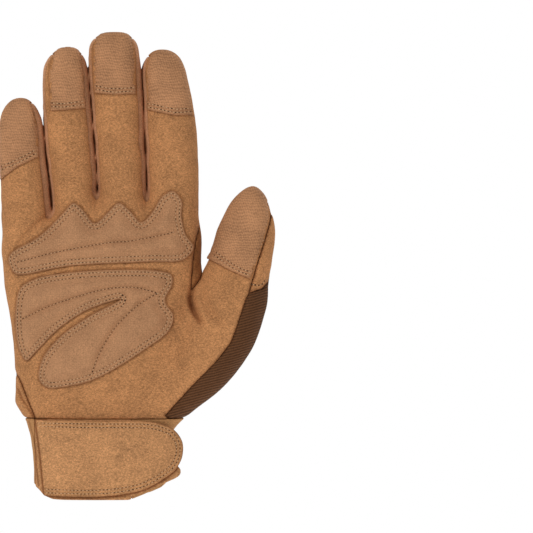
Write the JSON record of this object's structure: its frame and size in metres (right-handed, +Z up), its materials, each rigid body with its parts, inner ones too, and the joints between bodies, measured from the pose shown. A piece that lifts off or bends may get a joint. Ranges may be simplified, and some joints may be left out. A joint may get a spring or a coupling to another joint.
{
  "type": "mechanic glove",
  "caption": "Right-hand work glove with quilted palm pads, grip fingertip patches, a ribbed knit back and an elastic cuff closed by a wrist strap.",
  "frame": {"origin": "centre of the wrist opening, in the plane of the cuff's end", "axes": "+Z up from the wrist to the fingertips, -Y the way the palm faces, +X toward the thumb"},
  "size_m": [0.1441, 0.0464, 0.2419],
  "materials": {
    "palm_suede": "matt brushed suede, tan",
    "cap_suede": "matt brushed suede, pale tan",
    "pad_suede": "matt brushed suede over foam, tan",
    "grip": "fine dotted grip cloth, matt",
    "side_cloth": "smooth stretch cloth, tan",
    "knit": "ribbed stretch knit, brown",
    "elastic": "woven elastic, tan",
    "strap_cloth": "matt suede, tan",
    "hooks": "hook fastener, dark brown"
  },
  "bodies": {
    "root": {"palm_panel": "palm_suede", "back_panel": "knit", "thumb_gusset": "knit", "thumb_back": "palm_suede", "index_back": "cap_suede", "little_cap": "cap_suede", "ring_cap": "cap_suede", "middle_cap": "cap_suede", "side_fold": "palm_suede", "knuckle_pad": "pad_suede", "palm_pad": "pad_suede", "fourchette_little_ring": "side_cloth", "fourchette_ring_middle": "side_cloth", "fourchette_middle_index": "side_cloth", "little_tip_patch": "grip", "ring_tip_patch": "grip", "middle_tip_patch": "grip", "index_tip_patch": "grip", "thumb_tip_patch": "grip", "cuff_elastic": "elastic", "cuff_front": "strap_cloth", "wrist_strap": "strap_cloth", "hook_patch": "hooks"}
  },
  "joints": []
}
